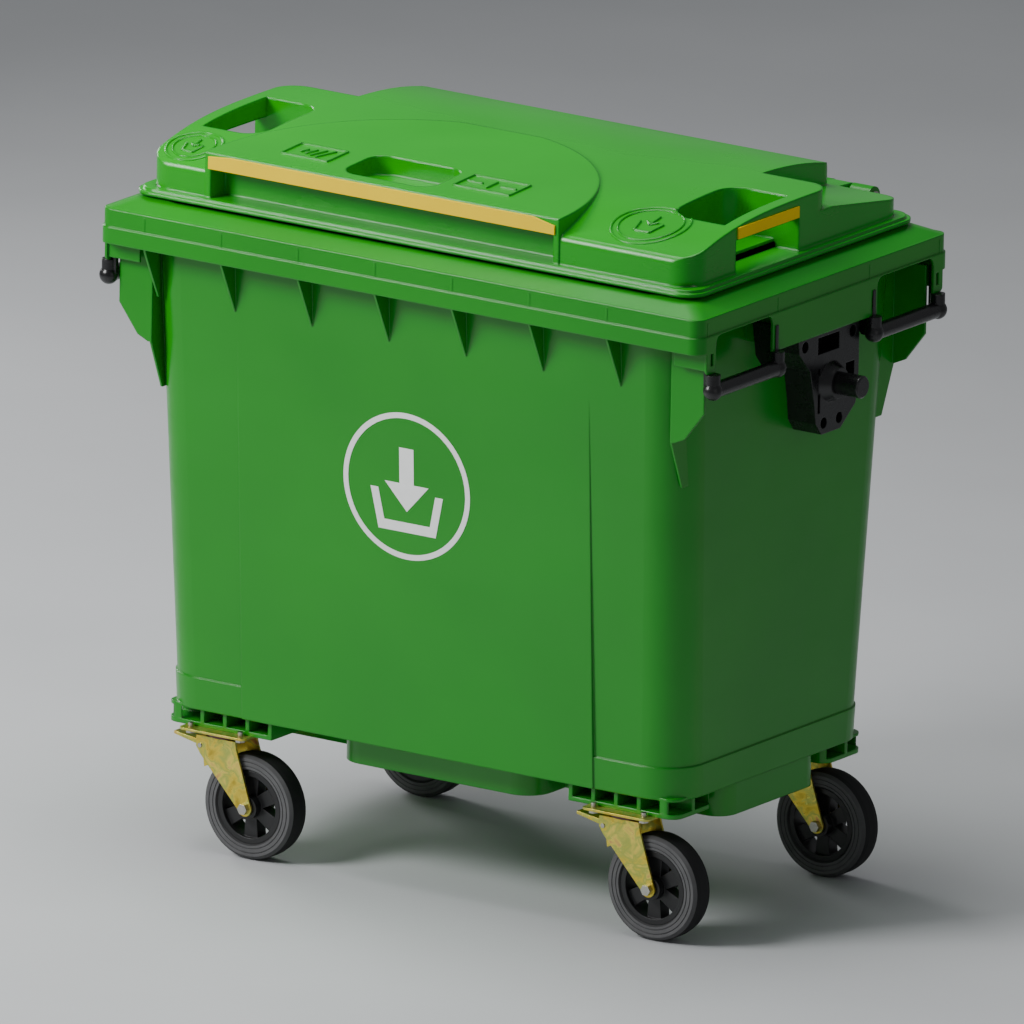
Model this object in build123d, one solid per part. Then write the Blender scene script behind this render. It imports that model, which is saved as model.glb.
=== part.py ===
from build123d import *
import math
import os

# Four-wheeled refuse container with a hinged lid. Millimetres, +Z up, -Y is the front.
# The model is drawn about the middle of the rim and shifted at the end, so that the
# origin lies on the ground under the middle of the whole box.

# Overall sizes
rim_length = 1265.0
rim_depth = 780.0
rim_top = 1176.0
trunnion_span = rim_length + 105.0
wheel_radius = 95.0
mount_height = 2 * wheel_radius + 36.0

# Tub walls
wall = 6.0
wall_top_length = rim_length - 135.0
wall_top_depth = rim_depth - 90.0
wall_low_length = rim_length - 175.0
wall_low_depth = rim_depth - 180.0
corner_radius = 75.0
rim_bottom = rim_top - 82.0
step_height = mount_height + 90.0
band_bottom = mount_height + 32.0
band_proud = 3.0
panel_half = rim_length / 2 - 262.5
panel_proud = 6.0
panel_top = rim_top - 202.0
print_thick = 0.6
print_height = 742.0
print_x = -15.0
print_radius = 133.0

# Underside
belly_bottom = mount_height - 26.0
belly_length = 420.0
belly_depth = rim_depth - 290.0
keel_depth = 300.0

# Rim and side skirts
rim_wall = 5.0
rim_corner = 24.0
rim_step = 30.0
rim_ledge = 48.0
rim_band = 62.0
skirt_bottom = rim_top - 120.0
window_width = 176.0
window_y = rim_depth / 2 - 140.0
window_top = rim_top - 54.0
gusset_count = 7
gusset_pitch = (rim_length - 293.0) / 6
gusset_height = 94.0
gusset_offset = -50.0
rib = 4.0
ear_bottom = rim_top - 196.0
ear_tip = rim_top - 346.0

# Handles and trunnions
bar_radius = 14.0
bar_height = rim_top - 150.0
web_reach = 50.0
pin_radius = 20.0
pin_shank_radius = 18.0
pin_height = rim_top - 218.0
pin_y = 45.0
bracket_left = 105.0
bracket_right = 84.0
bracket_bottom = rim_top - 308.0
bracket_seat = 12.0
bolt_radius = 4.0
drain_radius = 24.0

# Lid
lid_inset = 40.0
lid_gap = 0.5
lid_seam = 5.0
lid_flange = 16.0
lid_wall = 5.0
lid_front_rise = 70.0
lid_top_rise = 112.0
lid_back_rise = 88.0
lid_corner = 46.0
crown_inset = 20.0
grip_offset = -75.0
visor_radius = 372.0
visor_rise = 121.0
visor_front_rise = 98.0
recess_depth = 36.0
pocket_length = 190.0
pocket_depth = 120.0
pocket_y = 145.0 - rim_depth / 2
pocket_floor = 72.0
side_pocket_y = 295.0 - rim_depth / 2
side_pocket_length = 196.0
side_bar = 24.0
shoulder_y = rim_depth / 2 - 284.0
strip_thickness = 3.0
strip_height = 26.0

# Hinge
hinge_y = rim_depth / 2 + 21.0
hinge_z = rim_top + 10.0
hinge_radius = 19.0
hinge_pin_radius = 7.0
hinge_x = rim_length / 2 - 242.5
knuckle_length = 44.0
running_gap = 0.05
side_gap = 1.0

# Castors
castor_x = rim_length / 2 - 207.5
castor_y = rim_depth / 2 - 128.0
tyre_width = 48.0
hub_length = 58.0
trail = 60.0
plate_length = 140.0
plate_width = 110.0
plate_thick = 4.0
plate_bolt_x = 52.5
plate_bolt_y = 40.0
plate_bolt_radius = 5.0
fork_gap = 62.0
fork_thick = 4.0
bush_radius = 10.0
axle_radius = 6.0
king_radius = 6.0
pedal_x = -36.0
pedal_drop = 32.0
shoe_clearance = 13.0
pedal_reach = 100.0

centre_shift = (hinge_y + hinge_radius - rim_depth / 2) / 2
axle_drop = mount_height - wheel_radius
parts = {}


def add(name, shape):
    """Shift a finished piece to the shared origin and keep it under its name."""
    parts[name] = Pos(0, -centre_shift, 0) * shape


def box(x0, x1, y0, y1, z0, z1):
    """Box between two corners."""
    middle = Pos((x0 + x1) / 2, (y0 + y1) / 2, (z0 + z1) / 2)
    return middle * Box(x1 - x0, y1 - y0, z1 - z0)


def slab(length, depth, radius, z0, z1):
    """Upright slab with rounded corners."""
    return extrude(Pos(0, 0, z0) * RectangleRounded(length, depth, radius), z1 - z0)


def prism_yz(points, x0, x1):
    """Outline in Y and Z, pulled along X."""
    return extrude(Plane.YZ.offset(x0) * Polygon(*points, align=None), x1 - x0, dir=(1, 0, 0))


def prism_xz(points, y0, y1):
    """Outline in X and Z, pulled along Y."""
    return extrude(Plane.XZ.offset(-y1) * Polygon(*points, align=None), y1 - y0, dir=(0, -1, 0))


def rod_y(x, z, radius, y0, y1):
    """Round bar along Y."""
    return Pos(x, (y0 + y1) / 2, z) * Rot(90, 0, 0) * Cylinder(radius, y1 - y0)


def rod_x(y, z, radius, x0, x1):
    """Round bar along X."""
    return Pos((x0 + x1) / 2, y, z) * Rot(0, 90, 0) * Cylinder(radius, x1 - x0)


def rod_z(x, y, radius, z0, z1):
    """Round bar along Z."""
    return Pos(x, y, (z0 + z1) / 2) * Cylinder(radius, z1 - z0)


def mirror_x(shape):
    """The same piece on the other end of the container."""
    return mirror(shape, Plane.YZ)


def wall_size(z, inset=0.0):
    """Length and depth of the leaning tub wall at a height."""
    share = (z - step_height) / (rim_bottom - step_height)
    length = wall_low_length + share * (wall_top_length - wall_low_length)
    depth = wall_low_depth + share * (wall_top_depth - wall_low_depth)
    return length - 2 * inset, depth - 2 * inset


def taper(z0, z1, inset=0.0):
    """Leaning block that follows the tub wall between two heights."""
    sections = []
    for z in (z0, z1):
        length, depth = wall_size(z, inset)
        sections.append(Pos(0, 0, z) * RectangleRounded(length, depth, corner_radius - inset))
    return loft(sections, ruled=True)


def belly(inset=0.0, top=band_bottom + 10.0):
    """Deep part of the floor: a cross that leaves the four castor corners free."""
    low = belly_bottom + inset
    length = wall_size(band_bottom, inset)[0] - 4.0
    keel = slab(length, keel_depth - 2 * inset, 40.0 - inset, low, top)
    middle = slab(belly_length - 2 * inset, belly_depth - 2 * inset, 50.0 - inset, low, top)
    return keel + middle


def castor_housings():
    """Ribbed corner blocks that carry the castor plates."""
    length, depth = wall_size(band_bottom)
    outer_x = length / 2 - 6.0
    outer_y = depth / 2 - 4.0
    inner_x = castor_x - plate_length / 2 - 42.0
    inner_y = castor_y - plate_width / 2 - 34.0
    block = box(inner_x, outer_x, inner_y, outer_y, mount_height, band_bottom + 4.0)
    block = fillet(block.edges().filter_by(Axis.Z).sort_by(Axis.X)[-2:], 24.0)
    floor = 8.0
    pocket_low = mount_height + floor
    bays = 4
    bay = (outer_x - 26.0 - inner_x - 8.0) / bays
    for i in range(bays):
        x0 = inner_x + 8.0 + i * bay
        block -= box(x0, x0 + bay - 8.0, outer_y - 52.0, outer_y + 1.0, pocket_low, band_bottom - 1.0)
    for y0 in (inner_y + 10.0, inner_y + 68.0):
        block -= box(outer_x - 40.0, outer_x + 1.0, y0, y0 + 50.0, pocket_low, band_bottom - 1.0)
    return [block, mirror(block, Plane.XZ), mirror_x(block), mirror_x(mirror(block, Plane.XZ))]


def rim_outer():
    """Outside of the rim: two steps and a sloped ledge up to the lid seam."""
    step = 3.0
    low = slab(rim_length, rim_depth, rim_corner, rim_bottom, rim_bottom + rim_step)
    high = slab(rim_length - 2 * step, rim_depth - 2 * step, rim_corner - step,
                rim_bottom + rim_step, rim_bottom + rim_band)
    ledge_low = Pos(0, 0, rim_bottom + rim_band) * RectangleRounded(
        rim_length - 4 * step, rim_depth - 4 * step, rim_corner - 2 * step)
    ledge_high = Pos(0, 0, rim_top) * RectangleRounded(
        rim_length - 2 * rim_ledge, rim_depth - 2 * rim_ledge, rim_corner)
    ledge = loft([ledge_low, ledge_high], ruled=True)
    return low + high + ledge


def rim_hollow():
    """Space under the rim shelf, outside the tub wall."""
    cut = slab(rim_length - 2 * rim_wall, rim_depth - 2 * rim_wall, rim_corner - rim_wall,
               rim_bottom - 1.0, rim_bottom + rim_step)
    step = 3.0 + rim_wall
    cut += slab(rim_length - 2 * step, rim_depth - 2 * step, rim_corner - step,
                rim_bottom + rim_step - 1.0, rim_bottom + rim_band - rim_wall)
    return cut - taper(rim_bottom - 2.0, rim_top)


def side_skirt():
    """Deep skirt on the right end with a window over each push bar."""
    x1 = rim_length / 2
    half = rim_depth / 2 - rim_corner
    skirt = box(x1 - rim_wall, x1, -half, half, skirt_bottom, rim_bottom + rim_wall)
    skirt = fillet(skirt.edges().filter_by(Axis.X).group_by(Axis.Z)[0], 8.0)
    for side in (-1, 1):
        y0 = side * window_y - window_width / 2
        hole = box(x1 - 40.0, x1 + 1.0, y0, y0 + window_width, skirt_bottom - 1.0, window_top)
        hole = fillet(hole.edges().filter_by(Axis.X).group_by(Axis.Z)[-1], 16.0)
        skirt -= hole
    return skirt


def skirt_windows():
    """Upper part of the skirt windows, cut through the rim band."""
    x1 = rim_length / 2
    cuts = []
    for side in (-1, 1):
        y0 = side * window_y - window_width / 2
        hole = box(x1 - 40.0, x1 + 1.0, y0, y0 + window_width, rim_bottom - 60.0, window_top)
        cuts.append(fillet(hole.edges().filter_by(Axis.X).group_by(Axis.Z)[-1], 16.0))
        for edge in (y0 - 16.0, y0 + window_width + 8.0):
            cuts.append(box(x1 - 40.0, x1 + 1.0, edge, edge + 8.0, rim_bottom - 24.0, rim_bottom - 2.0))
    return cuts


def skirt_webs():
    """Cross webs that tie the skirt to the tub wall beside each window."""
    webs = []
    x1 = rim_length / 2 - rim_wall / 2
    for y in (-window_y - window_width / 2 - 22.0, -window_y + window_width / 2 + 20.0,
              window_y - window_width / 2 - 20.0, window_y + window_width / 2 + 22.0):
        x0 = wall_size(skirt_bottom)[0] / 2 - wall / 2
        webs.append(box(x0, x1, y - rib / 2, y + rib / 2, skirt_bottom + 6.0, rim_bottom + rim_band - 8.0))
    return webs


def corner_ear():
    """Stiffening plate beside the front right corner, with a web back to the wall."""
    face_y = -wall_size(rim_bottom)[1] / 2
    root = wall_size(rim_bottom)[0] / 2 - 20.0
    outer = rim_length / 2 - bar_radius - 4.0
    top = rim_bottom + 10.0
    plate = prism_xz([(root, top), (outer, top), (outer, ear_bottom), (root + 30.0, ear_bottom - 52.0),
                      (root + 8.0, ear_bottom - 62.0), (root, ear_bottom - 62.0)],
                     face_y, face_y + rib + 1.0)
    web = prism_yz([(face_y, top), (face_y, ear_bottom - 62.0), (face_y + 36.0, ear_tip),
                    (face_y + corner_radius, ear_tip), (face_y + corner_radius, top)], root, root + rib)
    return plate + web


def gusset(x, side):
    """Triangular rib between the wall and the rim shelf."""
    outer = rim_depth / 2 - rim_wall / 2
    low = rim_bottom - gusset_height
    inner_top = wall_size(rim_bottom)[1] / 2 - wall / 2
    inner_low = wall_size(low)[1] / 2 - wall / 2
    top = rim_bottom + rim_band - rim_wall
    points = [(side * inner_low, low), (side * (inner_low + wall / 2 + 1.0), low),
              (side * outer, rim_bottom + 2.0), (side * outer, top), (side * inner_top, top)]
    return prism_yz(points, x - rib / 2, x + rib / 2)


def panel_face():
    """Distance of the proud panel's face from the middle, at its foot and at its top."""
    return wall_size(band_bottom)[1] / 2 + panel_proud, wall_size(panel_top)[1] / 2


def front_panel():
    """Middle of the front and back wall, a little proud and fading out to the top."""
    low, high = panel_face()
    points = [(-low + panel_proud + wall / 2, band_bottom), (-low, band_bottom),
              (-high, panel_top), (-high + wall / 2, panel_top)]
    panel = prism_yz(points, -panel_half, panel_half)
    return [panel, mirror(panel, Plane.XZ)]


def hinge_lugs():
    """Knuckles on the back of the rim that hold the lid pins."""
    lugs = []
    back = rim_depth / 2 - 3.0
    for end in (-1, 1):
        for offset in (-1, 1):
            x = end * hinge_x + offset * knuckle_length
            x0, x1 = x - knuckle_length / 2, x + knuckle_length / 2
            arm = prism_yz([(back - 4.0, rim_bottom + 8.0), (back + 4.0, rim_bottom + 8.0),
                            (hinge_y + hinge_radius - 4.0, hinge_z - 10.0), (hinge_y, hinge_z),
                            (back - 4.0, rim_bottom + rim_band - 4.0)], x0, x1)
            lug = arm + rod_x(hinge_y, hinge_z, hinge_radius, x0, x1)
            lugs.append(lug - rod_x(hinge_y, hinge_z, hinge_pin_radius, x0 - 1.0, x1 + 1.0))
    return lugs


def tub_cavity():
    """Inside of the leaning walls, above the floor."""
    return taper(band_bottom + wall, rim_top + 5.0, wall)


def rim_ring():
    """Rim with its straight throat and the hollow under its shelf."""
    length, depth = wall_size(rim_top, wall)
    throat = slab(length, depth, corner_radius - wall, rim_bottom - 1.0, rim_top + 1.0)
    return rim_outer() - throat - rim_hollow()


def both_ends(shapes):
    """The given right-end shapes and their copies on the left end."""
    return [copy for shape in shapes for copy in (shape, mirror_x(shape))]


def make_tub():
    """The whole moulded container body."""
    cavity = tub_cavity()
    body = taper(band_bottom, rim_bottom + rim_band) - cavity - belly(wall)
    body += taper(band_bottom, step_height, -band_proud) - cavity - belly(wall)
    body += rim_ring()
    body += belly() - cavity - belly(wall)
    for shape in front_panel() + castor_housings() + hinge_lugs():
        body += shape
    for shape in both_ends([side_skirt()] + skirt_webs()):
        body += shape
    for ear in both_ends([corner_ear(), mirror(corner_ear(), Plane.XZ)]):
        body += ear - cavity
    first = gusset_offset - gusset_pitch * (gusset_count - 1) / 2
    for i in range(gusset_count):
        for side in (-1, 1):
            body += gusset(first + i * gusset_pitch, side) - cavity
    for hole in both_ends(skirt_windows()):
        body -= hole
    body -= rod_z(0, 0, drain_radius, belly_bottom - 1.0, belly_bottom + wall + 1.0)
    for x, y in plate_bolt_places():
        body -= rod_z(x, y, plate_bolt_radius, mount_height - 1.0, mount_height + 8.0)
    return body


def plate_bolt_places():
    """X and Y of every castor plate bolt."""
    places = []
    for sx in (-1, 1):
        for sy in (-1, 1):
            for bx in (-plate_bolt_x, plate_bolt_x):
                for by in (-plate_bolt_y, plate_bolt_y):
                    places.append((sx * castor_x + bx, sy * castor_y + by))
    return places


def wall_side(z0, z1):
    """Flat-sided block whose right face follows the right tub wall."""
    x0, x1 = wall_size(z0)[0] / 2, wall_size(z1)[0] / 2
    return prism_xz([(0, z0), (x0, z0), (x1, z1), (0, z1)], -rim_depth / 2, rim_depth / 2)


def make_bracket():
    """Moulded lifting bracket for the right end, with a raised hub round the pin."""
    top = skirt_bottom - 2.0
    face_x = rim_length / 2 - 14.0
    outline = [(pin_y - bracket_left, top), (pin_y - bracket_left + 4.0, top - 28.0),
               (pin_y - 66.0, top - 66.0), (pin_y - 52.0, pin_height - 30.0),
               (pin_y - 46.0, bracket_bottom + 22.0), (pin_y - 28.0, bracket_bottom),
               (pin_y + 30.0, bracket_bottom), (pin_y + bracket_right - 8.0, bracket_bottom + 36.0),
               (pin_y + bracket_right, bracket_bottom + 60.0), (pin_y + bracket_right, top)]
    plate = prism_yz(outline, wall_size(bracket_bottom)[0] / 2 - 5.0, face_x)
    plate -= wall_side(bracket_bottom - 20.0, top + 20.0)
    pocket_x = wall_size(top)[0] / 2 + 16.0
    for y0, y1, z0, z1 in ((pin_y - 42.0, pin_y - 34.0, bracket_bottom + 40.0, pin_height + 30.0),
                           (pin_y + 44.0, pin_y + 70.0, bracket_bottom + 66.0, pin_height + 24.0),
                           (pin_y - 44.0, pin_y + 22.0, pin_height + 56.0, top - 10.0)):
        plate -= box(pocket_x, face_x + 1.0, y0, y1, z0, z1)
    hub = Pos((face_x - 6.0 + hub_end()) / 2, pin_y, pin_height) * Rot(0, 90, 0) * Cone(
        40.0, 27.0, hub_end() - face_x + 6.0)
    plate += hub
    plate -= rod_x(pin_y, pin_height, pin_shank_radius, pin_start(), hub_end() + 1.0)
    for y, z in bracket_bolt_places():
        seat = wall_size(z)[0] / 2 + bracket_seat
        plate -= rod_x(y, z, bolt_radius, seat - 30.0, face_x + 1.0)
        plate -= rod_x(y, z, 10.0, seat, face_x + 1.0)
    return plate


def bracket_bolt_places():
    """Y and Z of the screws of one bracket."""
    return [(pin_y - 84.0, skirt_bottom - 20.0), (pin_y + 64.0, skirt_bottom - 20.0),
            (pin_y - 22.0, bracket_bottom + 20.0), (pin_y + 26.0, bracket_bottom + 20.0)]


def pin_start():
    """Inner end of the lifting pin, inside the bracket."""
    return wall_size(bracket_bottom)[0] / 2 + 14.0


def hub_end():
    """Outer face of the bracket's hub."""
    return rim_length / 2 + 4.0


def make_pin():
    """Lifting pin: a free end with a broken edge, 1 mm off the hub, on a shank in the bracket."""
    free_end = rod_x(pin_y, pin_height, pin_radius, hub_end() + 1.0, trunnion_span / 2)
    free_end = chamfer(free_end.edges().sort_by(Axis.X)[-1], 2.5)
    return free_end + rod_x(pin_y, pin_height, pin_shank_radius, pin_start(), hub_end() + 10.0)


def make_bracket_bolts():
    """Pan-head screws of both brackets."""
    screws = []
    for y, z in bracket_bolt_places():
        seat = wall_size(z)[0] / 2 + bracket_seat
        screw = rod_x(y, z, bolt_radius, seat - bracket_seat + 0.6, seat)
        screw += rod_x(y, z, 8.0, seat, seat + 5.0)
        screws.append(screw)
    return both_ends(screws)


def make_handle(side):
    """Push bar under one skirt window: bar, two elbows and their feet."""
    x = rim_length / 2 + 2.0
    y0 = side * window_y - window_width / 2 - 11.0
    y1 = side * window_y + window_width / 2 + 11.0
    bar = rod_y(x, bar_height, bar_radius, y0, y1)
    foot_top = skirt_bottom + 46.0
    for y in (y0, y1):
        bar += Pos(x, y, bar_height) * Sphere(bar_radius + 3.0)
        bar += rod_z(x, y, bar_radius - 1.0, bar_height, skirt_bottom - 0.5)
        foot = box(x - rim_wall - 12.0, x - rim_wall - 2.0, y - 4.0, y + 4.0, bar_height + 4.0, foot_top)
        bar += foot
    web_y = y0 if side > 0 else y1
    web = prism_xz([(x, bar_height - 8.0), (x, foot_top), (x - web_reach, foot_top),
                    (x - web_reach + 8.0, bar_height + 16.0), (x - 24.0, bar_height - 6.0)],
                   web_y - 4.0, web_y + 4.0)
    bar += web
    clear = box(rim_length / 2 - rim_wall, rim_length / 2, -rim_depth / 2, rim_depth / 2,
                skirt_bottom, rim_top)
    return bar - clear


def make_drain_plug():
    """Screw plug through the belly floor with a gripping bar."""
    plug = rod_z(0, 0, drain_radius, belly_bottom - 3.0, belly_bottom + wall + 10.0)
    plug += rod_z(0, 0, 34.0, belly_bottom - 9.0, belly_bottom - 3.0)
    plug += box(-26.0, 26.0, -4.0, 4.0, belly_bottom - 9.0 - 6.0, belly_bottom - 9.0)
    return plug


def make_drain_seal():
    """Flat rubber ring between plug head and floor."""
    ring = rod_z(0, 0, 32.0, belly_bottom - 3.0, belly_bottom)
    return ring - rod_z(0, 0, drain_radius, belly_bottom - 4.0, belly_bottom + 1.0)


def make_hinge_pin(end):
    """Hinge pin with a thin head at its outer end."""
    x0 = end * hinge_x - 1.5 * knuckle_length
    x1 = end * hinge_x + 1.5 * knuckle_length
    pin = rod_x(hinge_y, hinge_z, hinge_pin_radius, x0, x1)
    head_x = x1 if end > 0 else x0 - 4.0
    return pin + rod_x(hinge_y, hinge_z, hinge_pin_radius + 4.0, head_x, head_x + 4.0)


def make_print():
    """Round printed mark on the front wall: ring, arrow and open tray."""
    face = Circle(print_radius) - Circle(print_radius - 10.0)
    face += Pos(0, 34) * Rectangle(30, 70)
    face += Polygon((-46, 4), (46, 4), (0, -46), align=None)
    face += Polygon((-76, -10), (-60, -10), (-48, -66), (48, -66), (60, -10), (76, -10),
                    (60, -84), (-60, -84), align=None)
    mark = extrude(Pos(print_x, 0, print_height) * Rot(90, 0, 0) * face, rim_depth / 2, dir=(0, -1, 0))
    low, high = panel_face()
    film = prism_yz([(-low, band_bottom), (-low - print_thick, band_bottom),
                     (-high - print_thick, panel_top), (-high, panel_top)], -panel_half, panel_half)
    return mark & film


def plan_block(x_half, y0, y1, radius, inset, top):
    """Upright block of the lid plan, with rounded corners."""
    length = 2 * (x_half - inset)
    depth = y1 - y0 - 2 * inset
    return Pos(0, (y0 + y1) / 2, 0) * slab(length, depth, radius - inset, rim_top, top)


def lid_crown(inset=0.0):
    """Raised top of the lid, without recesses."""
    front = -rim_depth / 2 + lid_inset + crown_inset
    half = rim_length / 2 - lid_inset - crown_inset
    ridge = extrude(Plane.YZ.offset(-half) * crown_profile(inset), 2 * half, dir=(1, 0, 0))
    top = rim_top + visor_rise + 20.0
    main = ridge & plan_block(half, front, shoulder_y, lid_corner, inset, top)
    rear = ridge & plan_block(425.0, 0.0, -front, 30.0, inset, top)
    low = -front
    shoulder = prism_yz([(0.0, rim_top), (low - inset, rim_top), (low - inset, rim_top + 44.0 - inset),
                         (shoulder_y, rim_top + 76.0 - inset), (0.0, rim_top + 76.0 - inset)], -half, half)
    shoulder &= plan_block(half, front, -front, lid_corner, inset, top)
    return main + rear + shoulder


def crown_profile(inset):
    """Side outline of the lid top: low front edge, crowned middle, falling back."""
    front = -rim_depth / 2 + lid_inset + crown_inset + inset
    back = -front
    z0 = rim_top - inset
    base = rim_top + 2.0
    edges = [Line((back, base), (front, base)),
             Line((front, base), (front, z0 + lid_front_rise - 14.0)),
             ThreePointArc((front, z0 + lid_front_rise - 14.0),
                           (front + 4.1, z0 + lid_front_rise - 4.1),
                           (front + 14.0, z0 + lid_front_rise)),
             Spline((front + 14.0, z0 + lid_front_rise), (-160.0, z0 + lid_top_rise - 8.0),
                    (20.0, z0 + lid_top_rise), (190.0, z0 + lid_top_rise - 5.0),
                    (back - 20.0, z0 + lid_back_rise)),
             Line((back - 20.0, z0 + lid_back_rise), (back, z0 + 40.0)),
             Line((back, z0 + 40.0), (back, base))]
    return make_face(edges)


def visor(inset=0.0):
    """Half-round raised handle area at the front of the lid."""
    front = -rim_depth / 2 + lid_inset + crown_inset - 2.0 + inset
    round_block = Pos(grip_offset, front + 10.0, rim_top + (visor_rise + 30.0) / 2) * Cylinder(
        visor_radius - inset, visor_rise + 30.0)
    z0 = rim_top - inset
    wedge = prism_yz([(front, rim_top + 4.0), (front, z0 + visor_front_rise),
                      (front + visor_radius, z0 + visor_rise), (front + visor_radius, rim_top + 4.0)],
                     grip_offset - visor_radius, grip_offset + visor_radius)
    return round_block & wedge


def front_recess(grow=0.0):
    """Finger gap under the front grip, with slanted ends."""
    front = -rim_depth / 2 + lid_inset
    half = visor_radius - 6.0 + grow
    top = rim_top + lid_flange + 52.0 + grow
    back = front + crown_inset + recess_depth + grow
    low = rim_top + lid_flange - grow
    plan = Polygon((grip_offset - half, front - 30.0), (grip_offset + half, front - 30.0),
                   (grip_offset + half - 10.0, back), (grip_offset - half + 10.0, back), align=None)
    return extrude(Pos(0, 0, low) * plan, top - low, dir=(0, 0, 1))


def hand_pocket(grow=0.0):
    """Pocket behind the front grip for the hand."""
    top = rim_top + visor_rise + 30.0
    low = rim_top + pocket_floor - grow
    place = Pos(grip_offset - 15.0, pocket_y, low)
    return extrude(place * RectangleRounded(pocket_length + 2 * grow, pocket_depth + 2 * grow, 34.0 + grow),
                   top - low)


def side_pocket(grow=0.0):
    """Pocket and window behind the side grip on the right end."""
    half = rim_length / 2 - lid_inset - crown_inset
    low = rim_top + lid_flange - grow
    top = rim_top + visor_rise + 30.0
    y0 = side_pocket_y - side_pocket_length / 2 - grow
    y1 = side_pocket_y + side_pocket_length / 2 + grow
    inner = half - side_bar - 120.0 - grow
    outer = half - side_bar + grow
    well = box(inner, outer, y0, y1, low + 14.0, top)
    well = fillet(well.edges().filter_by(Axis.Z).sort_by(Axis.X)[:2], 46.0)
    gate = box(outer - 30.0, half + 30.0, y0, y1, low, rim_top + lid_front_rise + 6.0 + grow)
    return well + gate


def lid_flange_solid():
    """Stepped edge of the lid with the short rib that rests on the rim."""
    length = rim_length - 2 * lid_inset
    depth = rim_depth - 2 * lid_inset
    seam = rim_top + lid_seam
    flange = slab(length, depth, 40.0, seam, seam + 6.0)
    flange += slab(length - 14.0, depth - 14.0, 36.0, seam + 5.0, rim_top + lid_flange)
    rest = slab(length - 40.0, depth - 40.0, 30.0, rim_top + lid_gap, seam + 1.0)
    rest -= slab(length - 52.0, depth - 52.0, 26.0, rim_top, seam + 2.0)
    inner = slab(length - 52.0, depth - 52.0, 26.0, rim_top, seam + lid_flange)
    return flange, rest, inner


def lid_knuckles():
    """Lid arms that reach back over the rim to the hinge pins."""
    arms = []
    back = rim_depth / 2 - lid_inset - 30.0
    for end in (-1, 1):
        x0 = end * hinge_x - knuckle_length / 2 + side_gap
        x1 = end * hinge_x + knuckle_length / 2 - side_gap
        arm = prism_yz([(back, rim_top + 8.0), (hinge_y - 4.0, hinge_z - 4.0),
                        (hinge_y, hinge_z + hinge_radius), (back, rim_top + 34.0)], x0, x1)
        arm += rod_x(hinge_y, hinge_z, hinge_radius - 1.0, x0, x1)
        arms.append(arm - rod_x(hinge_y, hinge_z, hinge_pin_radius + running_gap, x0 - 1.0, x1 + 1.0))
    return arms


def make_lid():
    """One-piece hinged lid: stepped flange, crowned top, recesses and hinge arms."""
    flange, rest, inner = lid_flange_solid()
    outer = lid_crown() + visor()
    hollow = lid_crown(lid_wall) + visor(lid_wall)
    cuts = [front_recess(), hand_pocket(), side_pocket(), mirror_x(side_pocket())]
    walls = [front_recess(lid_wall), hand_pocket(lid_wall), side_pocket(lid_wall),
             mirror_x(side_pocket(lid_wall))]
    shell = outer + flange
    for cut in cuts:
        shell -= cut
    inner += hollow
    for block in walls:
        inner -= block
    shell -= inner
    shell += rest
    for arm in lid_knuckles():
        shell += arm
    return shell


def make_front_grip():
    """Yellow strip on the front edge of the visor, with tapered ends."""
    front = -rim_depth / 2 + lid_inset + crown_inset - 2.0
    top = rim_top + visor_front_rise - 3.0
    low = top - strip_height
    half = visor_radius - 8.0
    points = [(grip_offset - half, top - 4.0), (grip_offset - half + 46.0, top),
              (grip_offset + half - 46.0, top), (grip_offset + half, top - 10.0),
              (grip_offset + half, low), (grip_offset - half, low)]
    return prism_xz(points, front - strip_thickness, front)


def make_side_grip():
    """Yellow strip on the outside of the right grip bar."""
    half = rim_length / 2 - lid_inset - crown_inset
    y0 = side_pocket_y - side_pocket_length / 2 + 4.0
    y1 = side_pocket_y + side_pocket_length / 2 - 4.0
    top = rim_top + lid_front_rise + 28.0
    return box(half, half + strip_thickness, y0, y1, top - 20.0, top)


def make_castor_plate():
    """Pressed top plate with a raised bearing dish."""
    plate = slab(plate_length, plate_width, 10.0, -plate_thick, 0)
    plate += rod_z(0, 0, 38.0, -plate_thick - 4.0, -plate_thick)
    plate -= rod_z(0, 0, king_radius, -20.0, 1.0)
    for x in (-plate_bolt_x, plate_bolt_x):
        for y in (-plate_bolt_y, plate_bolt_y):
            plate -= rod_z(x, y, plate_bolt_radius, -plate_thick - 1.0, 1.0)
    return plate


def make_kingpin():
    """Riveted swivel pin."""
    return rod_z(0, 0, king_radius, -27.0, 0.0) + rod_z(0, 0, 11.0, -27.0, -21.3)


def make_castor_seal():
    """Red dust ring round the swivel head."""
    ring = rod_z(0, 0, 39.0, -13.7, -8.0) - rod_z(0, 0, 30.0, -14.0, -7.0)
    return fillet(ring.edges().filter_by(GeomType.CIRCLE).sort_by(SortBy.RADIUS)[-2:], 1.5)


def make_swivel_bearing():
    """Thrust bearing ring inside the dust ring."""
    return rod_z(0, 0, 28.0, -13.7, -8.0) - rod_z(0, 0, 14.0, -14.0, -7.0)


def fork_arm_points():
    """Side outline of a fork arm, before its round end is added."""
    return [(-44.0, -14.0), (38.0, -14.0), (40.0, -26.0), (trail + 13.0, -axle_drop + 4.0),
            (trail - 12.0, -axle_drop - 6.0), (-36.0, -46.0), (-44.0, -34.0)]


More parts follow.
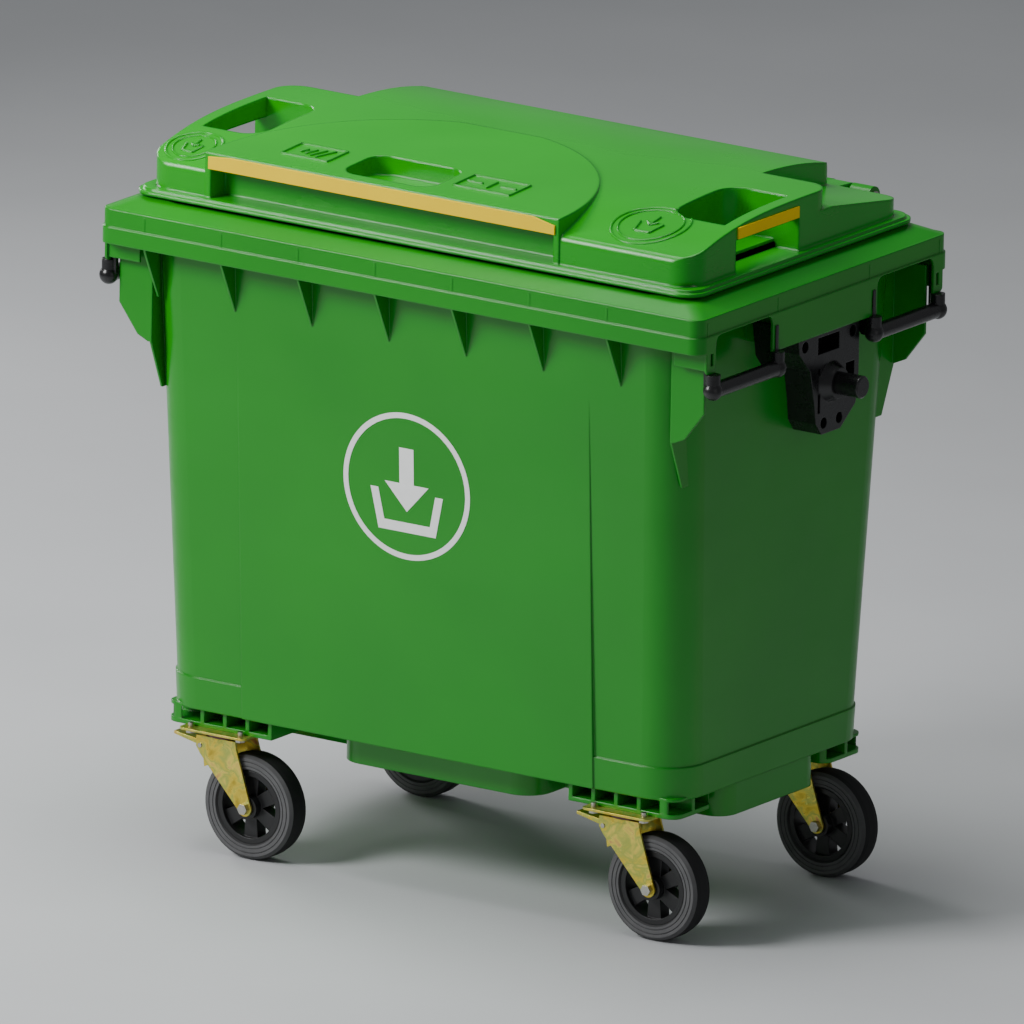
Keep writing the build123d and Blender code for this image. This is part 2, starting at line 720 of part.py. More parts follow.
def make_fork(braked):
    """Pressed steel fork: crown disc and two tapered arms."""
    crown = rod_z(0, 0, 37.0, -21.0, -14.0)
    half = fork_gap / 2
    crown += box(-36.0, 36.0, -half - fork_thick, half + fork_thick, -18.5, -14.0)
    crown -= rod_z(0, 0, king_radius + running_gap, -40.0, 0.0)
    for side in (-1, 1):
        y0 = half if side > 0 else -half - fork_thick
        arm = prism_xz(fork_arm_points(), y0, y0 + fork_thick)
        arm += rod_y(trail, -axle_drop, 14.0, y0, y0 + fork_thick)
        crown += arm
    crown -= rod_y(trail, -axle_drop, axle_radius, -half - 10.0, half + 10.0)
    if braked:
        crown -= rod_y(pedal_x, -pedal_drop, 4.0, -half - 10.0, half + 10.0)
    return crown


def make_axle_bolt():
    """Axle bolt with hexagon head and nut."""
    half = fork_gap / 2 + fork_thick
    bolt = rod_y(trail, -axle_drop, axle_radius, -half - 2.0, half + 10.0)
    hexagon = RegularPolygon(10.0, 6)
    for y in (-half, half + 8.0):
        bolt += Pos(trail, y, -axle_drop) * Rot(90, 0, 0) * extrude(hexagon, 8.0)
    return bolt


def make_hub_bush():
    """Steel bush clamped between the fork arms."""
    bush = rod_y(trail, -axle_drop, bush_radius, -fork_gap / 2, fork_gap / 2)
    return bush - rod_y(trail, -axle_drop, axle_radius, -fork_gap, fork_gap)


def make_wheel_rim():
    """Plastic wheel centre: hub, ring and six tapered spokes."""
    ring_outer, ring_inner, hub = 66.0, 56.0, 21.0
    rim = Rot(90, 0, 0) * Cylinder(ring_outer, tyre_width - 6.0)
    rim -= Rot(90, 0, 0) * Cylinder(ring_inner, tyre_width)
    rim += Rot(90, 0, 0) * Cylinder(hub, hub_length)
    for i in range(6):
        spoke = prism_xz([(-11.0, 14.0), (11.0, 14.0), (15.0, ring_inner + 4.0), (-15.0, ring_inner + 4.0)],
                         -13.0, 13.0)
        rim += Rot(0, 60.0 * i, 0) * spoke
    rim -= Rot(90, 0, 0) * Cylinder(bush_radius + running_gap, hub_length + 4.0)
    return Pos(trail, 0, -axle_drop) * rim


def make_tyre():
    """Solid rubber tyre with a crowned tread and ringed side walls."""
    half = tyre_width / 2
    seat = 66.0
    profile = Polygon((seat, -half + 4.0), (seat + 3.0, -half), (wheel_radius - 7.0, -half),
                      (wheel_radius - 1.5, -half + 5.0), (wheel_radius, -9.0), (wheel_radius, 9.0),
                      (wheel_radius - 1.5, half - 5.0), (wheel_radius - 7.0, half), (seat + 3.0, half),
                      (seat, half - 4.0), align=None)
    for side in (-1, 1):
        for radius in (74.0, 82.0):
            profile -= Pos(radius, side * half) * Rectangle(1.6, 2.0)
    tyre = revolve(Plane.XY * profile, Axis.Y)
    return Pos(trail, 0, -axle_drop) * tyre


def make_brake_pin():
    """Pivot pin of the brake pedal."""
    half = fork_gap / 2 + fork_thick + 1.5
    return rod_y(pedal_x, -pedal_drop, 4.0, -half, half)


def make_pedal():
    """Foot pedal with its brake shoe."""
    half = fork_gap / 2 - 1.5
    pivot_z = -pedal_drop
    pedal = prism_xz([(pedal_x - 4.0, pivot_z - 5.0), (pedal_x - 4.0, pivot_z + 5.0),
                      (-pedal_reach, pivot_z + 13.0), (-pedal_reach, pivot_z + 8.0)], -22.0, 22.0)
    pedal += rod_y(pedal_x, pivot_z, 8.0, -half, half)
    reach = wheel_radius + shoe_clearance
    angle = math.radians(56.0)
    shoe_x = trail - math.sin(angle) * reach
    shoe_z = -axle_drop + math.cos(angle) * reach
    pedal += prism_xz([(pedal_x - 6.0, pivot_z), (pedal_x + 6.0, pivot_z), (shoe_x + 2.0, shoe_z + 12.0),
                       (shoe_x, shoe_z), (shoe_x - 7.0, shoe_z - 3.0), (shoe_x - 9.0, shoe_z + 12.0)],
                      -20.0, 20.0)
    return pedal - rod_y(pedal_x, pivot_z, 4.0 + running_gap, -half - 1.0, half + 1.0)


def make_plate_bolts():
    """Hexagon bolts under the four castor plates."""
    bolts = []
    low = mount_height - plate_thick
    for x, y in plate_bolt_places():
        bolt = rod_z(x, y, plate_bolt_radius, low, mount_height + 8.0)
        bolts.append(bolt + Pos(x, y, low - 6.0) * extrude(RegularPolygon(9.0, 6), 6.0))
    return bolts


def add_castor(corner, x, y, braked):
    """Place every piece of one castor; all castors trail towards +X."""
    place = Pos(x, y, mount_height)
    pieces = {"plate": make_castor_plate(), "kingpin": make_kingpin(), "seal": make_castor_seal(),
              "bearing": make_swivel_bearing(), "fork": make_fork(braked), "axle_bolt": make_axle_bolt(),
              "hub_bush": make_hub_bush(), "wheel_rim": make_wheel_rim(), "tyre": make_tyre()}
    if braked:
        pieces["brake_pin"] = make_brake_pin()
        pieces["brake_pedal"] = make_pedal()
    for name, piece in pieces.items():
        add(f"{corner}_{name}", place * piece)


def build():
    """Make every piece and write one file for each."""
    add("tub_body", make_tub())
    bracket, pin = make_bracket(), make_pin()
    handles = {"front": make_handle(-1), "rear": make_handle(1)}
    add("trunnion_bracket_right", bracket)
    add("trunnion_bracket_left", mirror_x(bracket))
    add("trunnion_pin_right", pin)
    add("trunnion_pin_left", mirror_x(pin))
    add("trunnion_screws", Compound(make_bracket_bolts()))
    for name, handle in handles.items():
        add(f"handle_{name}_right", handle)
        add(f"handle_{name}_left", mirror_x(handle))
    add("drain_plug", make_drain_plug())
    add("drain_plug_seal", make_drain_seal())
    add("hinge_pin_left", make_hinge_pin(-1))
    add("hinge_pin_right", make_hinge_pin(1))
    add("front_print", make_print())
    add("lid_shell", make_lid())
    add("lid_grip_front", make_front_grip())
    add("lid_grip_right", make_side_grip())
    add("lid_grip_left", mirror_x(make_side_grip()))
    add("castor_plate_bolts", Compound(make_plate_bolts()))
    for sy, row in ((-1, "front"), (1, "rear")):
        for sx, end in ((-1, "left"), (1, "right")):
            add_castor(f"{row}_{end}", sx * castor_x, sy * castor_y, sy < 0)
    os.makedirs("parts", exist_ok=True)
    for name, shape in parts.items():
        export_step(shape, f"parts/{name}.step")


build()
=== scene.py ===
import bmesh
import bpy
import math
from mathutils import Matrix, Vector
from mathutils.bvhtree import BVHTree


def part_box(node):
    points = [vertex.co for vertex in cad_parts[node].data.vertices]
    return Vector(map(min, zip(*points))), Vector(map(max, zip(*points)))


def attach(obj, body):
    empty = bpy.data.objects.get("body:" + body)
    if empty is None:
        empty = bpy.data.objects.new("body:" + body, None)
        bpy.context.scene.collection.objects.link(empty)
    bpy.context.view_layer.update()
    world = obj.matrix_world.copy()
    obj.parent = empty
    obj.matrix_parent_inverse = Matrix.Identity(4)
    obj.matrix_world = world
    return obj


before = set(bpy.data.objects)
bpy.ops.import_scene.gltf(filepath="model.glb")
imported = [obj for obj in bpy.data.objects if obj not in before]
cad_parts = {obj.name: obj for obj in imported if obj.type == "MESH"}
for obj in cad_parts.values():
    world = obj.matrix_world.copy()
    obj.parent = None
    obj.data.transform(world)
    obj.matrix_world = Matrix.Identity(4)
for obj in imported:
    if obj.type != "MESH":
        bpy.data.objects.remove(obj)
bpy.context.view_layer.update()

# ---------------------------------------------------------------------------
# Camera and lights.
# A long lens looks at the front right corner from a little above, tipped by
# about a degree, in soft light from the upper left and a dim even sky.

AIM = Vector((-0.014, -0.020, 0.627))
AZIMUTH = math.radians(34.0)
ELEVATION = math.radians(15.1)
TIP = math.radians(1.1)
DISTANCE = 80.0
FIELD_WIDTH = 1.784
SENSOR = 36.0
CLIP_END = 200.0

away = Vector((math.sin(AZIMUTH) * math.cos(ELEVATION),
               -math.cos(AZIMUTH) * math.cos(ELEVATION),
               math.sin(ELEVATION)))
level_right = Vector((math.cos(AZIMUTH), math.sin(AZIMUTH), 0.0))
level_up = away.cross(level_right)
right = level_right * math.cos(TIP) + level_up * math.sin(TIP)
up = level_up * math.cos(TIP) - level_right * math.sin(TIP)
camera = bpy.data.objects.new("camera", bpy.data.cameras.new("camera"))
camera.data.sensor_width = SENSOR
camera.data.lens = SENSOR * DISTANCE / FIELD_WIDTH
camera.data.clip_end = CLIP_END
turn = Matrix((right, up, away)).transposed().to_4x4()
camera.matrix_world = Matrix.Translation(AIM + away * DISTANCE) @ turn
bpy.context.scene.collection.objects.link(camera)
bpy.context.scene.camera = camera


LIT_POINT = Vector((0.0, 0.0, 0.7))
SKY_COLOUR = (0.80, 0.82, 0.85, 1.0)
SKY_STRENGTH = 0.24


def area_light(name, place, size, power):
    """Square soft light that faces a point inside the container."""
    data = bpy.data.lights.new(name, "AREA")
    data.size = size
    data.energy = power
    lamp = bpy.data.objects.new(name, data)
    facing = (Vector(place) - LIT_POINT).to_track_quat("Z", "Y")
    lamp.matrix_world = Matrix.Translation(place) @ facing.to_matrix().to_4x4()
    bpy.context.scene.collection.objects.link(lamp)


area_light("key", place=(-2.6, -3.6, 3.6), size=1.8, power=250.0)
area_light("top", place=(-0.4, -0.2, 4.6), size=2.2, power=130.0)
area_light("fill", place=(4.5, -2.0, 2.0), size=3.0, power=8.0)
area_light("edge", place=(-4.2, 1.6, 2.2), size=1.4, power=60.0)

world = bpy.data.worlds.new("studio")
world.use_nodes = True
sky = world.node_tree.nodes["Background"]
sky.inputs["Color"].default_value = SKY_COLOUR
sky.inputs["Strength"].default_value = SKY_STRENGTH
bpy.context.scene.world = world

# ---------------------------------------------------------------------------
# Floor: smooth sealed concrete, pale and plain. Broad faint clouds keep it
# from looking flat, and no pattern in it draws the eye.

FLOOR_REACH = 14.0


def srgb(code):
    """Hex sRGB colour as linear RGBA."""
    parts = [int(code[i:i + 2], 16) / 255.0 for i in (1, 3, 5)]
    return [c / 12.92 if c <= 0.04045 else ((c + 0.055) / 1.055) ** 2.4 for c in parts] + [1.0]


def add_node(tree, kind, settings=None, links=None):
    """One shader node: settings are sockets or properties, links are input: output socket."""
    made = tree.nodes.new(kind)
    for key, value in (settings or {}).items():
        if isinstance(key, int) or key in made.inputs:
            made.inputs[key].default_value = value
        else:
            setattr(made, key, value)
    for key, source in (links or {}).items():
        tree.links.new(source, made.inputs[key])
    return made


def new_material(name):
    """Empty node material: its tree and its output node."""
    material = bpy.data.materials.new(name)
    material.use_nodes = True
    material.node_tree.nodes.clear()
    output = material.node_tree.nodes.new("ShaderNodeOutputMaterial")
    return material, material.node_tree, output


def link_mesh(name, mesh):
    """New object at the origin for a finished mesh."""
    piece = bpy.data.objects.new(name, mesh)
    bpy.context.scene.collection.objects.link(piece)
    return piece


def pale_floor():
    """Sealed concrete: broad faint clouds about 600 mm across."""
    material, tree, output = new_material("sealed_pale_concrete")
    place = add_node(tree, "ShaderNodeTexCoord").outputs["Object"]
    cloud = add_node(tree, "ShaderNodeTexNoise", {"Scale": 1.6, "Detail": 4.0}, {"Vector": place})
    tint = add_node(tree, "ShaderNodeMix", {"data_type": "RGBA", 6: srgb("#B9BBBD"), 7: srgb("#C6C8CA")},
                    {0: cloud.outputs["Fac"]})
    shade = add_node(tree, "ShaderNodeBsdfPrincipled", {"Roughness": 0.7}, {"Base Color": tint.outputs[2]})
    tree.links.new(shade.outputs[0], output.inputs[0])
    return material


floor_mesh = bmesh.new()
bmesh.ops.create_grid(floor_mesh, x_segments=1, y_segments=1, size=FLOOR_REACH)
floor_data = bpy.data.meshes.new("floor")
floor_mesh.to_mesh(floor_data)
floor_mesh.free()
floor = link_mesh("floor", floor_data)
floor.data.materials.append(pale_floor())

# ---------------------------------------------------------------------------
# Tub: one injection moulding in high-density polyethylene, dyed through.
# The rim, ribs, skirts and castor housings come out of the same mould, so
# they share one glossy skin with a faint orange peel and softened edges.

EDGE_RAYS = 6


def moulded_green(name, roughness, peel, edge, deep="#067C08", light="#0A900E"):
    """Glossy dyed polyethylene: cloudy colour, uneven gloss, orange peel, scuffs."""
    material, tree, output = new_material(name)
    place = add_node(tree, "ShaderNodeTexCoord").outputs["Object"]
    # slightly uneven dye, in clouds about 300 mm across
    flow = add_node(tree, "ShaderNodeTexNoise", {"Scale": 3.2, "Detail": 3.0, "Roughness": 0.45},
                    {"Vector": place})
    tint = add_node(tree, "ShaderNodeMix", {"data_type": "RGBA", 6: srgb(deep), 7: srgb(light)},
                    {0: flow.outputs["Fac"]})
    # light handling scuffs, about 200 mm long and 40 mm apart up the wall
    stretch = add_node(tree, "ShaderNodeMapping", {"Scale": (1.0, 1.0, 5.0)}, {"Vector": place})
    scuff = add_node(tree, "ShaderNodeTexNoise", {"Scale": 5.0, "Detail": 5.0, "Roughness": 0.5},
                     {"Vector": stretch.outputs[0]})
    gloss = add_node(tree, "ShaderNodeMapRange",
                     {"From Min": 0.35, "From Max": 0.75,
                      "To Min": roughness - 0.02, "To Max": roughness + 0.05},
                     {"Value": scuff.outputs["Fac"]})
    # orange peel from the mould, 4 mm across
    peel_noise = add_node(tree, "ShaderNodeTexNoise", {"Scale": 250.0, "Detail": 2.0}, {"Vector": place})
    bump = add_node(tree, "ShaderNodeBump", {"Strength": peel, "Distance": 0.0006},
                    {"Height": peel_noise.outputs["Fac"]})
    # sink marks and slight waviness of large flat walls, 180 mm across
    wave = add_node(tree, "ShaderNodeTexNoise", {"Scale": 5.5, "Detail": 1.0}, {"Vector": place})
    sink = add_node(tree, "ShaderNodeBump", {"Strength": 0.12, "Distance": 0.01},
                    {"Height": wave.outputs["Fac"], "Normal": bump.outputs[0]})
    soft = add_node(tree, "ShaderNodeBevel", {"samples": EDGE_RAYS, "Radius": edge},
                    {"Normal": sink.outputs[0]})
    shade = add_node(tree, "ShaderNodeBsdfPrincipled", {"IOR": 1.54, "Specular IOR Level": 0.42},
                     {"Base Color": tint.outputs[2], "Roughness": gloss.outputs[0],
                      "Normal": soft.outputs[0]})
    tree.links.new(shade.outputs[0], output.inputs[0])
    return material


def dress(node, material):
    """Puts a finish on a CAD node, whose shape is already right."""
    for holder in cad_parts[node].material_slots:
        holder.material = material


tub_green = moulded_green("dyed_polyethylene_tub", roughness=0.30, peel=0.06, edge=0.004)
dress("tub_body", tub_green)

# ---------------------------------------------------------------------------
# Lid: one moulding in the same dyed polyethylene, with a brighter mould polish and lighter greens that are
# painted light on its top.
# Its crowned top carries raised round badges and two small instruction
# panels, whose beads stand 3 mm proud and draw plain generic signs.

BEAD = 0.0030
WIDE_BEAD = 0.0050
PANEL_BEAD = 0.0045
NARROW_BEAD = 0.0035
RING_GAP = 0.012
RAY_START = 0.05

# the clouds between these two greens are uneven dye; their lift above the tub's greens is painted light, as
# for a top lit from above
lid_painted_lit_green = moulded_green("dyed_polyethylene_lid_painted_lit", roughness=0.24, peel=0.05, edge=0.007,
                          deep="#068C0A", light="#0CA414")
dress("lid_shell", lid_painted_lit_green)

lid_skin = bmesh.new()
lid_skin.from_mesh(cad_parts["lid_shell"].data)
lid_tree = BVHTree.FromBMesh(lid_skin)
lid_low, lid_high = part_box("lid_shell")


def lay_on_lid(shape):
    """Drops every point to the lid below it, even into a pocket, keeping its own height."""
    for point in shape.verts:
        start = Vector((point.co.x, point.co.y, lid_high.z + RAY_START))
        hit = lid_tree.ray_cast(start, Vector((0.0, 0.0, -1.0)))[0]
        if hit:
            point.co.z += hit.z


def sign_piece(name, shape):
    """Raised sign as a piece of the lid."""
    lay_on_lid(shape)
    bmesh.ops.recalc_face_normals(shape, faces=shape.faces)
    mesh = bpy.data.meshes.new(name)
    shape.to_mesh(mesh)
    shape.free()
    for face in mesh.polygons:
        face.use_smooth = False
    piece = link_mesh(name, mesh)
    piece.data.materials.append(lid_painted_lit_green)
    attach(piece, "lid")


def raised_ring(shape, middle, radius, width):
    """Round bead of rounded section, its lower half sunk into the lid."""
    section = bmesh.ops.create_circle(shape, segments=8, radius=width / 2, cap_ends=False)["verts"]
    for point in section:
        point.co = Vector((radius + point.co.x, 0.0, point.co.y * 2 * BEAD / width))
    edges = [edge for edge in shape.edges if all(point in section for point in edge.verts)]
    bmesh.ops.spin(shape, geom=section + edges, axis=(0, 0, 1), cent=(0, 0, 0), dvec=(0, 0, 0),
                   angle=2 * math.pi, steps=72, use_merge=True)
    bmesh.ops.translate(shape, verts=shape.verts, vec=middle)


def raised_bar(shape, middle, length, width, angle):
    """Straight bead in short steps, so that it can follow the crowned top."""
    bar = bmesh.new()
    bmesh.ops.create_cube(bar, size=1.0)
    edges = [edge for edge in bar.edges if abs(edge.verts[0].co.x - edge.verts[1].co.x) > 0.5]
    bmesh.ops.subdivide_edges(bar, edges=edges, cuts=7)
    for point in bar.verts:
        point.co.x *= length
        point.co.y *= width * (1.0 if point.co.z < 0 else 0.7)
        point.co.z *= 2 * BEAD
    bmesh.ops.rotate(bar, verts=bar.verts, cent=(0, 0, 0), matrix=Matrix.Rotation(angle, 3, "Z"))
    bmesh.ops.translate(bar, verts=bar.verts, vec=middle)
    held = bpy.data.meshes.new("bar")
    bar.to_mesh(held)
    bar.free()
    shape.from_mesh(held)
    bpy.data.meshes.remove(held)


def round_badge(name, x, y, radius):
    """Two rings round a bin-shaped outline with a falling arrow."""
    outer = bmesh.new()
    raised_ring(outer, (x, y, 0.0), radius, WIDE_BEAD)
    sign_piece(f"{name}_ring", outer)
    inner = bmesh.new()
    raised_ring(inner, (x, y, 0.0), radius - RING_GAP, NARROW_BEAD)
    sign_piece(f"{name}_inner_ring", inner)
    bars = bmesh.new()
    reach = radius * 0.42
    raised_bar(bars, (x, y - reach, 0.0), 1.1 * reach, WIDE_BEAD, 0.0)
    for side in (-1, 1):
        raised_bar(bars, (x + side * 0.68 * reach, y - 0.45 * reach, 0.0), 1.15 * reach, WIDE_BEAD,
                   math.radians(90 - side * 14))
        raised_bar(bars, (x + side * 0.2 * reach, y + 0.05 * reach, 0.0), 0.55 * reach, WIDE_BEAD,
                   side * math.radians(45))
    raised_bar(bars, (x, y + 0.5 * reach, 0.0), 1.0 * reach, WIDE_BEAD, math.radians(90))
    sign_piece(f"{name}_sign", bars)


grip_low, grip_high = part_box("lid_grip_front")
grip_middle = (grip_low.x + grip_high.x) / 2
round_badge("badge_right", x=lid_high.x - 0.166, y=lid_low.y + 0.110, radius=0.070)
round_badge("badge_left", x=lid_low.x + 0.078, y=lid_low.y + 0.082, radius=0.050)


def sign_panel(name, x, y, length, depth, lines):
    """Rectangular bead frame; each line inside is its offset, length and angle in degrees."""
    shape = bmesh.new()
    for side in (-1, 1):
        raised_bar(shape, (x, y + side * depth / 2, 0.0), length, NARROW_BEAD, 0.0)
        raised_bar(shape, (x + side * length / 2, y, 0.0), depth, NARROW_BEAD, math.radians(90))
    for offset, span, angle in lines:
        raised_bar(shape, (x + offset, y, 0.0), span, PANEL_BEAD, math.radians(angle))
    sign_piece(name, shape)


sign_panel("panel_left", x=grip_middle - 0.205, y=lid_low.y + 0.110, length=0.098, depth=0.064,
           lines=[(-0.020, 0.018, 70), (-0.006, 0.028, 70), (0.009, 0.038, 70), (0.024, 0.046, 70)])
sign_panel("panel_right", x=grip_middle + 0.165, y=lid_low.y + 0.115, length=0.118, depth=0.066,
           lines=[(-0.036, 0.034, 0), (0.0, 0.036, 90), (0.034, 0.034, 0)])
lid_skin.free()

# ---------------------------------------------------------------------------
# Grip strips: yellow polypropylene mouldings clipped along the edges that a
# hand takes hold of. Their fine satin grain is moulded in.


def yellow_strip(name, code):
    """Satin yellow polypropylene: faint stains, a 1 mm grain and softened edges."""
    material, tree, output = new_material(name)
    place = add_node(tree, "ShaderNodeTexCoord").outputs["Object"]
    stain = add_node(tree, "ShaderNodeTexNoise", {"Scale": 14.0, "Detail": 5.0}, {"Vector": place})
    tint = add_node(tree, "ShaderNodeMix", {"data_type": "RGBA", 6: srgb(code), 7: srgb("#FFD900")},
                    {0: stain.outputs["Fac"]})
    grain = add_node(tree, "ShaderNodeTexNoise", {"Scale": 900.0, "Detail": 2.0}, {"Vector": place})
    bump = add_node(tree, "ShaderNodeBump", {"Strength": 0.15, "Distance": 0.0003},
                    {"Height": grain.outputs["Fac"]})
    soft = add_node(tree, "ShaderNodeBevel", {"samples": EDGE_RAYS, "Radius": 0.0012},
                    {"Normal": bump.outputs[0]})
    shade = add_node(tree, "ShaderNodeBsdfPrincipled",
                     {"Roughness": 0.5, "IOR": 1.49, "Specular IOR Level": 0.25},
                     {"Base Color": tint.outputs[2], "Normal": soft.outputs[0]})
    tree.links.new(shade.outputs[0], output.inputs[0])
    return material


yellow = yellow_strip("satin_yellow_polypropylene", "#F4CA00")
for grip in ("lid_grip_front", "lid_grip_left", "lid_grip_right"):
    dress(grip, yellow)

# ---------------------------------------------------------------------------
# Printed mark: a white hot-stamped film on the front wall, thin and slightly
# less glossy than the moulding under it.


def white_film():
    """White stamping film with faint pinholes of uneven pressure."""
    material, tree, output = new_material("white_stamping_film")
    place = add_node(tree, "ShaderNodeTexCoord").outputs["Object"]
    press = add_node(tree, "ShaderNodeTexNoise", {"Scale": 60.0, "Detail": 6.0}, {"Vector": place})
    tint = add_node(tree, "ShaderNodeMix", {"data_type": "RGBA", 6: srgb("#ECEFEC"), 7: srgb("#FAFBFA")},
                    {0: press.outputs["Fac"]})
    shade = add_node(tree, "ShaderNodeBsdfPrincipled", {"Roughness": 0.38}, {"Base Color": tint.outputs[2]})
    tree.links.new(shade.outputs[0], output.inputs[0])
    return material


dress("front_print", white_film())

# ---------------------------------------------------------------------------
# Push bars, trunnion brackets and pins, and the drain plug: black polyamide
# mouldings, glossy from the mould, with rub marks from hands and lifter arms.


def glossy_black(name, roughness):
    """Black polyamide with rub marks that catch the light."""
    material, tree, output = new_material(name)
    place = add_node(tree, "ShaderNodeTexCoord").outputs["Object"]
    rub = add_node(tree, "ShaderNodeTexNoise", {"Scale": 26.0, "Detail": 9.0, "Roughness": 0.7},
                   {"Vector": place})
    tint = add_node(tree, "ShaderNodeMix", {"data_type": "RGBA", 6: srgb("#0B0B0C"), 7: srgb("#1D1D1F")},
                    {0: rub.outputs["Fac"]})
    gloss = add_node(tree, "ShaderNodeMapRange",
                     {"From Min": 0.3, "From Max": 0.8, "To Min": roughness, "To Max": roughness + 0.28},
                     {"Value": rub.outputs["Fac"]})
    fine = add_node(tree, "ShaderNodeTexNoise", {"Scale": 320.0, "Detail": 2.0}, {"Vector": place})
    bump = add_node(tree, "ShaderNodeBump", {"Strength": 0.12, "Distance": 0.0005},
                    {"Height": fine.outputs["Fac"]})
    soft = add_node(tree, "ShaderNodeBevel", {"samples": EDGE_RAYS, "Radius": 0.0022},
                    {"Normal": bump.outputs[0]})
    shade = add_node(tree, "ShaderNodeBsdfPrincipled", {"IOR": 1.53},
                     {"Base Color": tint.outputs[2], "Roughness": gloss.outputs[0],
                      "Normal": soft.outputs[0]})
    tree.links.new(shade.outputs[0], output.inputs[0])
    return material


black = glossy_black("black_polyamide", roughness=0.17)
for end in ("left", "right"):
    dress(f"trunnion_bracket_{end}", black)
    dress(f"trunnion_pin_{end}", black)
    for row in ("front", "rear"):
        dress(f"handle_{row}_{end}", black)
dress("drain_plug", black)

# ---------------------------------------------------------------------------
# Metalwork: forks, plates and pedals pressed from steel sheet, zinc plated and
# yellow passivated, which leaves a drifting gold, green and pink film. Bolts,
# screws, pins, bearings and bushes keep plain bright zinc.


def passivated_zinc():
    """Yellow chromate over zinc: colour drifts over 30 mm, soft metal gloss."""
    material, tree, output = new_material("yellow_passivated_zinc")
    place = add_node(tree, "ShaderNodeTexCoord").outputs["Object"]
    drift = add_node(tree, "ShaderNodeTexNoise", {"Scale": 34.0, "Detail": 3.0, "Distortion": 0.6},
                     {"Vector": place})
    ramp = add_node(tree, "ShaderNodeValToRGB", None, {"Fac": drift.outputs["Fac"]})
    ramp.color_ramp.elements[0].position = 0.30
    ramp.color_ramp.elements[0].color = srgb("#B9A23C")
    ramp.color_ramp.elements[1].position = 0.74
    ramp.color_ramp.elements[1].color = srgb("#C98F6A")
    for position, code in ((0.44, "#DCC64E"), (0.54, "#AEB65C"), (0.63, "#E3CF62")):
        ramp.color_ramp.elements.new(position).color = srgb(code)
    scratch = add_node(tree, "ShaderNodeTexNoise", {"Scale": 190.0, "Detail": 6.0}, {"Vector": place})
    gloss = add_node(tree, "ShaderNodeMapRange",
                     {"From Min": 0.3, "From Max": 0.8, "To Min": 0.26, "To Max": 0.52},
                     {"Value": scratch.outputs["Fac"]})
    bump = add_node(tree, "ShaderNodeBump", {"Strength": 0.1, "Distance": 0.0004},
                    {"Height": scratch.outputs["Fac"]})
    soft = add_node(tree, "ShaderNodeBevel", {"samples": EDGE_RAYS, "Radius": 0.0012},
                    {"Normal": bump.outputs[0]})
    shade = add_node(tree, "ShaderNodeBsdfPrincipled", {"Metallic": 0.9},
                     {"Base Color": ramp.outputs[0], "Roughness": gloss.outputs[0],
                      "Normal": soft.outputs[0]})
    tree.links.new(shade.outputs[0], output.inputs[0])
    return material


def bright_zinc():
    """Blue-white zinc on bolts and pins, slightly dulled by handling."""
    material, tree, output = new_material("bright_zinc_steel")
    place = add_node(tree, "ShaderNodeTexCoord").outputs["Object"]
    dull = add_node(tree, "ShaderNodeTexNoise", {"Scale": 90.0, "Detail": 5.0}, {"Vector": place})
    gloss = add_node(tree, "ShaderNodeMapRange", {"To Min": 0.22, "To Max": 0.5},
                     {"Value": dull.outputs["Fac"]})
    tint = add_node(tree, "ShaderNodeMix", {"data_type": "RGBA", 6: srgb("#9C9A92"), 7: srgb("#CFCDC4")},
                    {0: dull.outputs["Fac"]})
    soft = add_node(tree, "ShaderNodeBevel", {"samples": EDGE_RAYS, "Radius": 0.0007})
    shade = add_node(tree, "ShaderNodeBsdfPrincipled", {"Metallic": 1.0},
                     {"Base Color": tint.outputs[2], "Roughness": gloss.outputs[0],
                      "Normal": soft.outputs[0]})
    tree.links.new(shade.outputs[0], output.inputs[0])
    return material


CORNERS = ("front_left", "front_right", "rear_left", "rear_right")
gold = passivated_zinc()
steel = bright_zinc()
for corner in CORNERS:
    for part in ("fork", "plate"):
        dress(f"{corner}_{part}", gold)
    for part in ("axle_bolt", "kingpin", "bearing", "hub_bush"):
        dress(f"{corner}_{part}", steel)
for corner in CORNERS[:2]:
    dress(f"{corner}_brake_pedal", gold)
    dress(f"{corner}_brake_pin", steel)
for part in ("castor_plate_bolts", "trunnion_screws", "hinge_pin_left", "hinge_pin_right"):
    dress(part, steel)

# ---------------------------------------------------------------------------
# Dust rings and drain seal: a dark red moulded ring keeps grit out of each
# swivel head, and a soft black ring seals the drain plug.


def ring_plastic(name, code, roughness):
    """Small moulded ring with dust on its matt skin."""
    material, tree, output = new_material(name)
    place = add_node(tree, "ShaderNodeTexCoord").outputs["Object"]
    dust = add_node(tree, "ShaderNodeTexNoise", {"Scale": 70.0, "Detail": 6.0}, {"Vector": place})
    tint = add_node(tree, "ShaderNodeMix", {"data_type": "RGBA", 6: srgb(code), 7: srgb("#5B4440")},
                    {0: dust.outputs["Fac"]})
    shade = add_node(tree, "ShaderNodeBsdfPrincipled", {"Roughness": roughness},
                     {"Base Color": tint.outputs[2]})
    tree.links.new(shade.outputs[0], output.inputs[0])
    return material


red_ring = ring_plastic("dark_red_nylon", "#5E0B0E", roughness=0.38)
for corner in CORNERS:
    dress(f"{corner}_seal", red_ring)
dress("drain_plug_seal", ring_plastic("black_seal_rubber", "#161616", roughness=0.75))

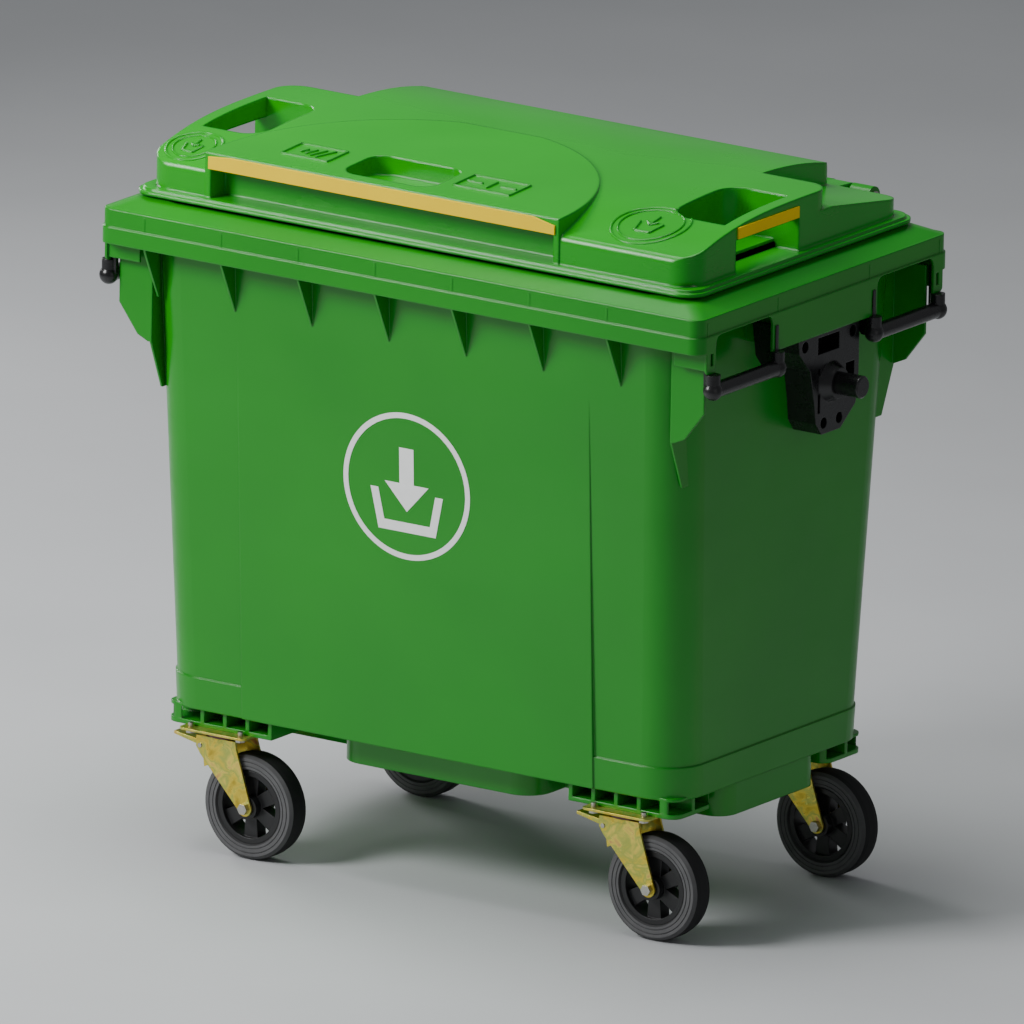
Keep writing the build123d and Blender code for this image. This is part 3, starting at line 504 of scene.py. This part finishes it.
# ---------------------------------------------------------------------------
# Wheels: a solid rubber tyre, matt and grey-black, with side walls dustier
# than its tread, on a dark polypropylene centre with six spokes.


def tyre_rubber():
    """Vulcanised rubber: dusty grey side walls, blacker tread, fine pitting."""
    material, tree, output = new_material("vulcanised_grey_rubber")
    place = add_node(tree, "ShaderNodeTexCoord").outputs["Object"]
    dust = add_node(tree, "ShaderNodeTexNoise", {"Scale": 28.0, "Detail": 8.0, "Roughness": 0.65},
                    {"Vector": place})
    side = add_node(tree, "ShaderNodeMix", {"data_type": "RGBA", 6: srgb("#4A4A4B"), 7: srgb("#6A6A6B")},
                    {0: dust.outputs["Fac"]})
    # a side wall faces along Y while its castor is at rest
    facing = add_node(tree, "ShaderNodeNewGeometry").outputs["Normal"]
    split = add_node(tree, "ShaderNodeSeparateXYZ", None, {"Vector": facing})
    flat = add_node(tree, "ShaderNodeMath", {"operation": "ABSOLUTE"}, {0: split.outputs["Y"]})
    wall = add_node(tree, "ShaderNodeMapRange", {"From Min": 0.5, "From Max": 0.85},
                    {"Value": flat.outputs[0]})
    tint = add_node(tree, "ShaderNodeMix", {"data_type": "RGBA", 6: srgb("#1C1C1D")},
                    {0: wall.outputs[0], 7: side.outputs[2]})
    pits = add_node(tree, "ShaderNodeTexNoise", {"Scale": 420.0, "Detail": 3.0}, {"Vector": place})
    bump = add_node(tree, "ShaderNodeBump", {"Strength": 0.3, "Distance": 0.0006},
                    {"Height": pits.outputs["Fac"]})
    soft = add_node(tree, "ShaderNodeBevel", {"samples": EDGE_RAYS, "Radius": 0.0015},
                    {"Normal": bump.outputs[0]})
    shade = add_node(tree, "ShaderNodeBsdfPrincipled", {"Roughness": 0.78, "Specular IOR Level": 0.35},
                     {"Base Color": tint.outputs[2], "Normal": soft.outputs[0]})
    tree.links.new(shade.outputs[0], output.inputs[0])
    return material


rubber = tyre_rubber()
wheel_centre = glossy_black("dark_polypropylene", roughness=0.32)
for corner in CORNERS:
    dress(f"{corner}_tyre", rubber)
    dress(f"{corner}_wheel_rim", wheel_centre)
